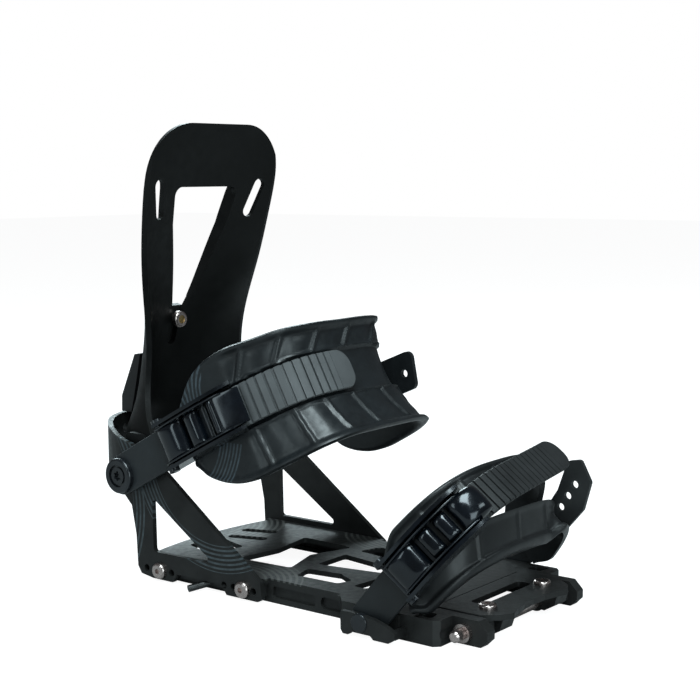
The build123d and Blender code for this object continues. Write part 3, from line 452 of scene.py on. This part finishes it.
class Strap:
    """A squarish arch in a tilted plane; lengths run along it from the near bolt."""

    def __init__(self, pivot, tilt, half, reach, power, yaw=0.0, rise=0.0, tail=None):
        t = math.radians(tilt)
        away = Vector((0, -math.cos(t), math.sin(t)))
        turn = Matrix.Rotation(math.radians(yaw), 3, away)
        self.normal = turn @ Vector((0, -math.sin(t), -math.cos(t)))
        self.across = turn @ Vector((1, 0, 0))
        self.away = away
        self.origin = Vector(pivot) - self.normal * rise
        self.table = []
        length, last = 0.0, None
        for step in range(180 * STEPS_PER_DEGREE + 1):
            a = math.radians(-90 + step / STEPS_PER_DEGREE)
            x = half * abs(math.sin(a)) ** (2 / power) * math.copysign(1, a)
            s = reach * max(0.0, math.cos(a)) ** (2 / power)
            if tail and x > 0:
                break
            normal = Vector((math.copysign(abs(x) ** (power - 1) / half ** power, x),
                             s ** (power - 1) / reach ** power)).normalized()
            if last:
                length += math.hypot(x - last[0], s - last[1])
            last = (x, s)
            self.table.append((length, x, s, normal))
        if tail:
            self.table.append((length + tail - last[0], tail, last[1], Vector((0, 1))))
        self.total = self.table[-1][0]

    def length_at(self, angle):
        """Length along the arch where its parameter is an angle in degrees, 0 at the crown."""
        return self.table[round((angle + 90) * STEPS_PER_DEGREE)][0]

    def at(self, length, depth, width, flare=0.0, squeeze=0.0):
        """World point, in metres, at a length along the arch, a depth out from it and a width down across it.

        Flare lifts the crown's edges with the square of the width. Squeeze lowers the whole arch by a share.
        """
        if length <= 0:
            x, s, normal = self.table[0][1], length, Vector((-1, 0))
        else:
            low, high = 0, len(self.table) - 1
            while high - low > 1:
                middle = (low + high) // 2
                if self.table[middle][0] <= length:
                    low = middle
                else:
                    high = middle
            a, b = self.table[low], self.table[high]
            t = min(1.0, (length - a[0]) / max(1e-9, b[0] - a[0]))
            x, s = a[1] + (b[1] - a[1]) * t, a[2] + (b[2] - a[2]) * t
            normal = (a[3] * (1 - t) + b[3] * t).normalized()
        depth += flare * width * width * max(0.0, normal[1])
        s *= 1 - squeeze
        point = self.origin + self.across * (x + normal[0] * depth) + self.away * (s + normal[1] * depth)
        return (point + self.normal * width) * MM


# every measure from here on is in millimetres or degrees
HUB = (0, 97.5, 61.0)
TOE_BOLT = (0, -81.5, 7.8)
TOE_TILT = 50.0
ANKLE = Strap(HUB, 28.5, 64.0, 137.5, 4.0)
TOE = Strap(TOE_BOLT, TOE_TILT, 61.5, 83.0, 3.0)
TOE_LADDER = Strap(TOE_BOLT, TOE_TILT, 66.0, 87.5, 3.0, yaw=6.5, rise=6.8, tail=49.0)


def smooth(value, start, end):
    """0 before start, 1 after end."""
    t = min(1.0, max(0.0, (value - start) / (end - start)))
    return t * t * (3 - 2 * t)


def table_value(table, key):
    """Value at a key, on straight lines through a short list of (key, value)."""
    if key <= table[0][0]:
        return table[0][1]
    for (a, low), (b, high) in zip(table, table[1:]):
        if key <= b:
            t = (key - a) / (b - a)
            return low + (high - low) * t
    return table[-1][1]


DISC_STEPS = 48
DISC_CHAMFER = 0.4


def disc(mesh, y, z, radius, x_low, x_high):
    """Flat round lug across the x axis, its rims broken."""
    small = radius - DISC_CHAMFER
    turns = [2 * math.pi * i / DISC_STEPS for i in range(DISC_STEPS)]
    rings = []
    for x, r in ((x_low, small), (x_low + DISC_CHAMFER, radius), (x_high - DISC_CHAMFER, radius),
                 (x_high, small)):
        rings.append([Vector((x, y + r * math.cos(turn), z + r * math.sin(turn))) * MM for turn in turns])
    mesh.loft(rings)


FACE = 1.45             # half of a ladder's thickness
SOFT_EDGE = 0.45        # how far its edges are broken
BOSS = 0.4              # extra height round the near bolt
TOOTH_FOOT = 0.3        # tooth heights are counted from here
TOOTH = ((0.0, -0.5), (0.20, -0.5), (0.23, 0.9), (0.5, 1.05), (0.94, 1.2), (0.97, -0.5))
LEAST_SQUARE = 0.02     # keeps the first and last slice of a round end from closing to a line
TIP_STEPS = 16


class Ladder:
    """Ladder strap: plain shank, then teeth up to a plain round tip. A lug squares off its near end."""

    def __init__(self, strap, start, end, half, tip, first_tooth, pitch, boss_end=0.0, lug=None):
        self.strap = strap
        self.start = start
        self.end = end
        self.half = half
        self.tip = tip
        self.first_tooth = first_tooth
        self.pitch = pitch
        self.boss_end = boss_end
        self.lug = lug

    def stops(self):
        """Lengths along the arch where a slice is drawn, with the tooth's height there or None."""
        stops = []
        length = self.start
        while length < self.first_tooth:
            stops.append((length, None))
            length += 0.8 if length < self.start + self.half else 2.5
        tooth = self.first_tooth
        while tooth + self.pitch < self.end - self.tip:
            for share, height in TOOTH:
                stops.append((tooth + self.pitch * share, height))
            tooth += self.pitch
        for i in range(TIP_STEPS + 1):
            share = math.sin(math.pi / 2 * i / TIP_STEPS)
            stops.append((tooth + (self.end - tooth) * share, None))
        return stops

    def reach(self, length):
        """Half the strap's width at a length."""
        reach = self.half
        if length < self.start + self.half and self.lug is None:
            short = self.start + self.half - length
            reach = math.sqrt(max(LEAST_SQUARE, self.half ** 2 - short ** 2))
        if length > self.end - self.tip:
            past = length - self.end + self.tip
            reach = self.half - self.tip + math.sqrt(max(LEAST_SQUARE, self.tip ** 2 - past ** 2))
        return min(reach, self.half)

    def top(self, length, height):
        """Depth of the outer face."""
        if length < self.boss_end:
            return FACE + BOSS * (1 - smooth(length, self.boss_end - 6, self.boss_end))
        return FACE if height is None else TOOTH_FOOT + height

    def slice(self, length, height):
        reach, top = self.reach(length), self.top(length, height)
        edge = min(SOFT_EDGE, reach * 0.5)
        back = (-FACE + SOFT_EDGE, -FACE)
        profile = ((-reach, back[0]), (-reach + edge, back[1]), (0, back[1]),
                   (reach - edge, back[1]), (reach, back[0]),
                   (reach, top - SOFT_EDGE), (reach - edge, top), (0, top),
                   (-reach + edge, top), (-reach, top - SOFT_EDGE))
        return [self.strap.at(length, depth, width) for width, depth in profile]

    def draw(self, name, body, material, node):
        mesh = Mesh()
        mesh.loft([self.slice(*stop) for stop in self.stops()])
        if self.lug:
            disc(mesh, *self.lug)
        obj = make_object(name, mesh.points, mesh.faces, material, body, 28)
        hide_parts(node)


# edges of the ankle pad: (length along the arch, width down across it), from its near end to the crown
ANKLE_PAD_UP = ((55, -13), (60, -17.5), (66, -23), (72, -27.5), (80, -31.5), (90, -33.5),
                (104, -33.8), (122, -31), (150, -28.8), (180, -28.5))
ANKLE_PAD_LOW = ((55, 15), (57, 21), (61, 26), (67, 31), (74, 35), (83, 38.6), (95, 40.5),
                 (120, 40.5), (150, 39), (180, 39))
ANKLE_UPPER_RIBS = (107, 132, 157, 184, 211, 236)
ANKLE_LOWER_RIBS = (104, 130, 150.5, 173, 200, 226)
ANKLE_PAD_START = 55
CHANNEL = 12.3          # half width of the ladder's channel between the lobes
CHANNEL_DEPTH = -4.4
LOBE_RISE = 2.5
PAD_BACK = -7.6
PAD_FLARE = 0.0078      # how fast the lobes turn up away from the channel
PANEL_RECESS = 1.5      # how far the panels between the ribs are sunk
CUSHION = 0.7           # how far a panel's middle swells back out
RIM_BEAD = 0.8
OUTLINE_BLUR = (-4.5, -3, -1.5, 0, 1.5, 3, 4.5)     # lengths that an outline is averaged over


def ankle_pad(material):
    """Moulded instep pad: two ribbed lobes either side of the ladder's channel."""
    total = ANKLE.total
    columns, rows = 230, 74

    def along(i):
        return ANKLE_PAD_START + (total - 2 * ANKLE_PAD_START) * i / columns

    def edge(table, length):
        place = min(length, total - length)
        return sum(table_value(table, place + step) for step in OUTLINE_BLUR) / len(OUTLINE_BLUR)

    def width(i, j):
        length = along(i)
        up, low = edge(ANKLE_PAD_UP, length), edge(ANKLE_PAD_LOW, length)
        return up + (low - up) * j / rows

    def rim_distance(length, w):
        return min(w - edge(ANKLE_PAD_UP, length), edge(ANKLE_PAD_LOW, length) - w)

    def rib_distance(length, w):
        if w < 0:
            return min(abs(length - rib + 0.7 * (w + 20)) for rib in ANKLE_UPPER_RIBS)
        return min(abs(length - rib - 0.15 * (w - 25)) for rib in ANKLE_LOWER_RIBS)

    def outer(i, j):
        length, w = along(i), width(i, j)
        rim, rib = rim_distance(length, w), rib_distance(length, w)
        ribbed = smooth(length, 96, 106) * (1 - smooth(length, total - 96, total - 84))
        inside = smooth(rim, 2.8, 4.2) * smooth(abs(w), CHANNEL + 1.2, CHANNEL + 2.4)
        panel = inside * smooth(rib, 0.7, 1.9) * ribbed
        depth = CHANNEL_DEPTH + LOBE_RISE * smooth(abs(w), CHANNEL, CHANNEL + 1.2)
        depth -= PANEL_RECESS * panel
        depth += CUSHION * panel * smooth(rib, 1.9, 11.0) * smooth(rim, 4.0, 9.5)
        depth += RIM_BEAD * (1 - smooth(abs(rim - 1.8), 0.3, 2.6))
        depth -= 1.2 * (1 - smooth(min(length, total - length), 55, 62))
        depth -= 1.4 * (1 - smooth(rim, 0.0, 1.0))
        return ANKLE.at(length, depth, w, PAD_FLARE)

    def inner(i, j):
        length, w = along(i), width(i, j)
        rounding = 1.3 * (1 - smooth(rim_distance(length, w), 0.0, 1.6))
        return ANKLE.at(length, PAD_BACK + rounding, w, PAD_FLARE)

    mesh = Mesh()
    mesh.shell(columns, rows, outer, inner, lambda i, j: True)
    obj = make_object("ankle_pad_moulding", mesh.points, mesh.faces, material,
                      "ankle_strap", 60)
    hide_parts("ankle_pad")


TOE_UPPER_RIBS = (60, 88, 116, 142, 168)
TOE_LOWER_RIBS = (84, 117, 146, 176)
TOE_PAD_START = 26
TOE_PAD_UP = -22.5
TOE_PAD_LOW = 21.0
TOE_GAP_UP = 7.0        # how far the gap opens either side of the middle line
TOE_GAP_LOW = 6.0
TOE_MIDDLE = -0.5
TOE_PAD_FACE = -0.6
TOE_PAD_BACK = -4.9
TOE_PANEL_RECESS = 0.9
DRAWN_IN = ((-10, 0.0), (-3, 0.01), (4, 0.06), (12, 0.155), (20, 0.25))   # (width, share of the arch)
CHEEK_DRAWN_IN = 0.13   # the most that the far end's cheek is drawn in


def toe_pad(material):
    """Moulded toe cap: a thin upper lobe and a drawn-in lower lobe, open between."""
    total = TOE.total
    columns, rows = 190, 56
    upper_rows, gap_rows = 22, 6

    def along(i):
        return TOE_PAD_START + (total - 2 * TOE_PAD_START) * i / columns

    def edges(length):
        near_side = min(length, total - length)
        top = TOE_PAD_UP + 8 * (1 - smooth(near_side, 24, 44))
        bottom = TOE_PAD_LOW - 6 * (1 - smooth(near_side, 24, 40))
        middle, reach = total * 0.545, total * 0.245
        open_share = max(0.0, 1 - abs((length - middle) / reach) ** 3) ** 0.5
        gap_top, gap_low = TOE_MIDDLE - TOE_GAP_UP * open_share, TOE_MIDDLE + TOE_GAP_LOW * open_share
        return top, gap_top, gap_low, bottom, open_share

    def width(i, j):
        top, gap_top, gap_low, bottom, _ = edges(along(i))
        if j <= upper_rows:
            return top + (gap_top - top) * j / upper_rows
        if j <= upper_rows + gap_rows:
            return gap_top + (gap_low - gap_top) * (j - upper_rows) / gap_rows
        return gap_low + (bottom - gap_low) * (j - upper_rows - gap_rows) / (rows - upper_rows - gap_rows)

    def keep(i, j):
        is_open = edges(along(i))[4] > 0 and edges(along(i + 1))[4] > 0
        return not (is_open and upper_rows <= j < upper_rows + gap_rows)

    def drawn_in(length, w):
        share = table_value(DRAWN_IN, w)
        cheek = smooth(length, TOE.length_at(16), TOE.length_at(28))
        return share + (min(share, CHEEK_DRAWN_IN) - share) * cheek

    def outer(i, j):
        length, w = along(i), width(i, j)
        top, gap_top, gap_low, bottom, _ = edges(length)
        rim = min(abs(w - top), abs(bottom - w))
        ribs = TOE_UPPER_RIBS if w < gap_low else TOE_LOWER_RIBS
        ridge = min(abs(length - rib) for rib in ribs)
        lobe = min(rim, abs(w - gap_top), abs(w - gap_low)) if keep(i, j) else 0
        depth = TOE_PAD_FACE
        depth += RIM_BEAD * (1 - smooth(abs(rim - 1.7), 0.5, 2.0)) - 1.3 * (1 - smooth(rim, 0.0, 1.0))
        panel = smooth(rim, 3.0, 4.4) * smooth(ridge, 0.8, 1.8) * smooth(lobe, 0.8, 2.0)
        depth -= TOE_PANEL_RECESS * panel
        return TOE.at(length, depth, w, squeeze=drawn_in(length, w))

    def inner(i, j):
        length, w = along(i), width(i, j)
        return TOE.at(length, TOE_PAD_BACK, w, squeeze=drawn_in(length, w))

    mesh = Mesh()
    mesh.shell(columns, rows, outer, inner, keep)
    obj = make_object("toe_pad_moulding", mesh.points, mesh.faces, material,
                      "toe_strap", 60)
    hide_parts("toe_pad")


LEAST_RISE = 0.02       # keeps a block's end from closing to a line


def block(mesh, strap, lengths, widths, floor, top, along, across, steps=14):
    """Moulded block on a strap. A power of 2 rounds it off along or across, a high one keeps it square."""
    rings = []
    for i in range(steps + 1):
        u = (1 - math.cos(math.pi * i / steps)) / 2
        swell = (1 - abs(2 * u - 1) ** along) ** (1 / along)
        low, high = (width(u) if callable(width) else width for width in widths)
        height = (top(u) if callable(top) else top) - floor
        length = lengths[0] + (lengths[1] - lengths[0]) * u
        ring = [strap.at(length, floor, low), strap.at(length, floor, high)]
        for j in range(steps + 1):
            v = (1 - math.cos(math.pi * j / steps)) / 2
            rise = (1 - abs(2 * v - 1) ** across) ** (1 / across)
            ring.append(strap.at(length, floor + LEAST_RISE + height * swell * rise, high + (low - high) * v))
        rings.append(ring)
    mesh.loft(rings)


def side_rails(mesh, strap, lengths, inner, outer, floor, top):
    """The two cheeks of a lever."""
    for side in (-1, 1):
        low, high = sorted((side * inner, side * outer))
        block(mesh, strap, lengths, (low, high), floor, top, 8.0, 3.0)


def ankle_lever(material):
    """Ratchet lever: barrel, second roller, open middle, cross-bar and a broad tongue."""
    mesh = Mesh()
    block(mesh, ANKLE, (43.8, 63.5), (-9.6, 9.6), 3.3, 9.6, 2.3, 10.0, 18)
    block(mesh, ANKLE, (66.0, 76.5), (-9.2, 9.2), 3.4, 8.6, 2.6, 12.0)
    block(mesh, ANKLE, (86.0, 89.4), (-9.4, 9.4), 4.4, 9.3, 4.0, 12.0)
    block(mesh, ANKLE, (88.6, 105.5), (lambda u: -11.2 + 1.2 * u, lambda u: 11.2 - 1.2 * u), 4.2,
          lambda u: 9.0 - 3.4 * u, 7.0, 14.0)
    side_rails(mesh, ANKLE, (44.0, 97.0), 9.3, 11.3, 4.6, lambda u: 8.9 + 1.5 * math.sin(math.pi * u))
    obj = make_object("ankle_lever_body", mesh.points, mesh.faces, material,
                      "ankle_lever", 50)
    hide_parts("ankle_buckle_lever")


def toe_lever(material):
    """Ratchet lever of the toe buckle: a barrel, two stepped rollers and a domed end."""
    mesh = Mesh()
    strap = TOE_LADDER
    block(mesh, strap, (33.0, 53.0), (-8.4, 8.4), 2.4, 9.2, 2.6, 7.0, 18)
    block(mesh, strap, (55.5, 63.5), (-6.9, 6.9), 3.2, 8.8, 3.0, 6.0)
    block(mesh, strap, (65.5, 73.0), (-6.9, 6.9), 3.4, 9.0, 3.0, 6.0)
    block(mesh, strap, (74.5, 91.5), (lambda u: -9.6 + 1.6 * u ** 3, lambda u: 9.6 - 1.6 * u ** 3), 3.8, 10.6,
          2.4, 2.8, 24)
    side_rails(mesh, strap, (33.5, 82.0), 7.5, 9.5, 4.4, lambda u: 8.8 + 0.8 * math.sin(math.pi * u))
    obj = make_object("toe_lever_body", mesh.points, mesh.faces, material,
                      "toe_lever", 50)
    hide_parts("toe_buckle_lever")


# ---------------------------------------------------------------- the CAD pieces that stay

BEVEL_WIDTH = 0.0004
BEVEL_ANGLE = 38
OWN_LOOKS = {"baseplate": "baseplate", "heelcup": "heelcup", "highback": "highback",
             "stop_wire": "dull_steel"}


def dress_frame(materials):
    """Each CAD node that stays gets its finish and softened edges."""
    slots = {part["node"]: part["material_slot"] for part in frame["record"]["subparts"]}
    for node, obj in frame["nodes"].items():
        material = materials[OWN_LOOKS.get(node, slots[node])]
        for slot in obj.material_slots:
            slot.material = material
        bevel = obj.modifiers.new("softened_edges", "BEVEL")
        bevel.width = BEVEL_WIDTH
        bevel.segments = 2
        bevel.limit_method = "ANGLE"
        bevel.angle_limit = math.radians(BEVEL_ANGLE)


def main():
    add_camera()
    add_studio()
    materials = make_looks()
    dress_frame(materials)
    ankle = Ladder(ANKLE, start=-11.4, end=176.0, half=11.5, tip=8.5, first_tooth=104.0, pitch=5.3,
                   boss_end=34.0)
    ankle.draw("ankle_ladder_strap", "ankle_strap", materials["ladder_grey"], "ankle_ladder")
    toe_lug = (TOE_BOLT[1], TOE_BOLT[2], 7.4, -67.4, -63.4)
    toe = Ladder(TOE_LADDER, start=0.2, end=TOE_LADDER.total - 0.3, half=9.8, tip=8.0, first_tooth=86.0,
                 pitch=4.7, lug=toe_lug)
    toe.draw("toe_ladder_strap", "toe_strap", materials["ladder_black"], "toe_ladder")
    ankle_pad(materials["pad_plastic"])
    toe_pad(materials["toe_pad"])
    ankle_lever(materials["buckle_black"])
    toe_lever(materials["buckle_black"])


main()
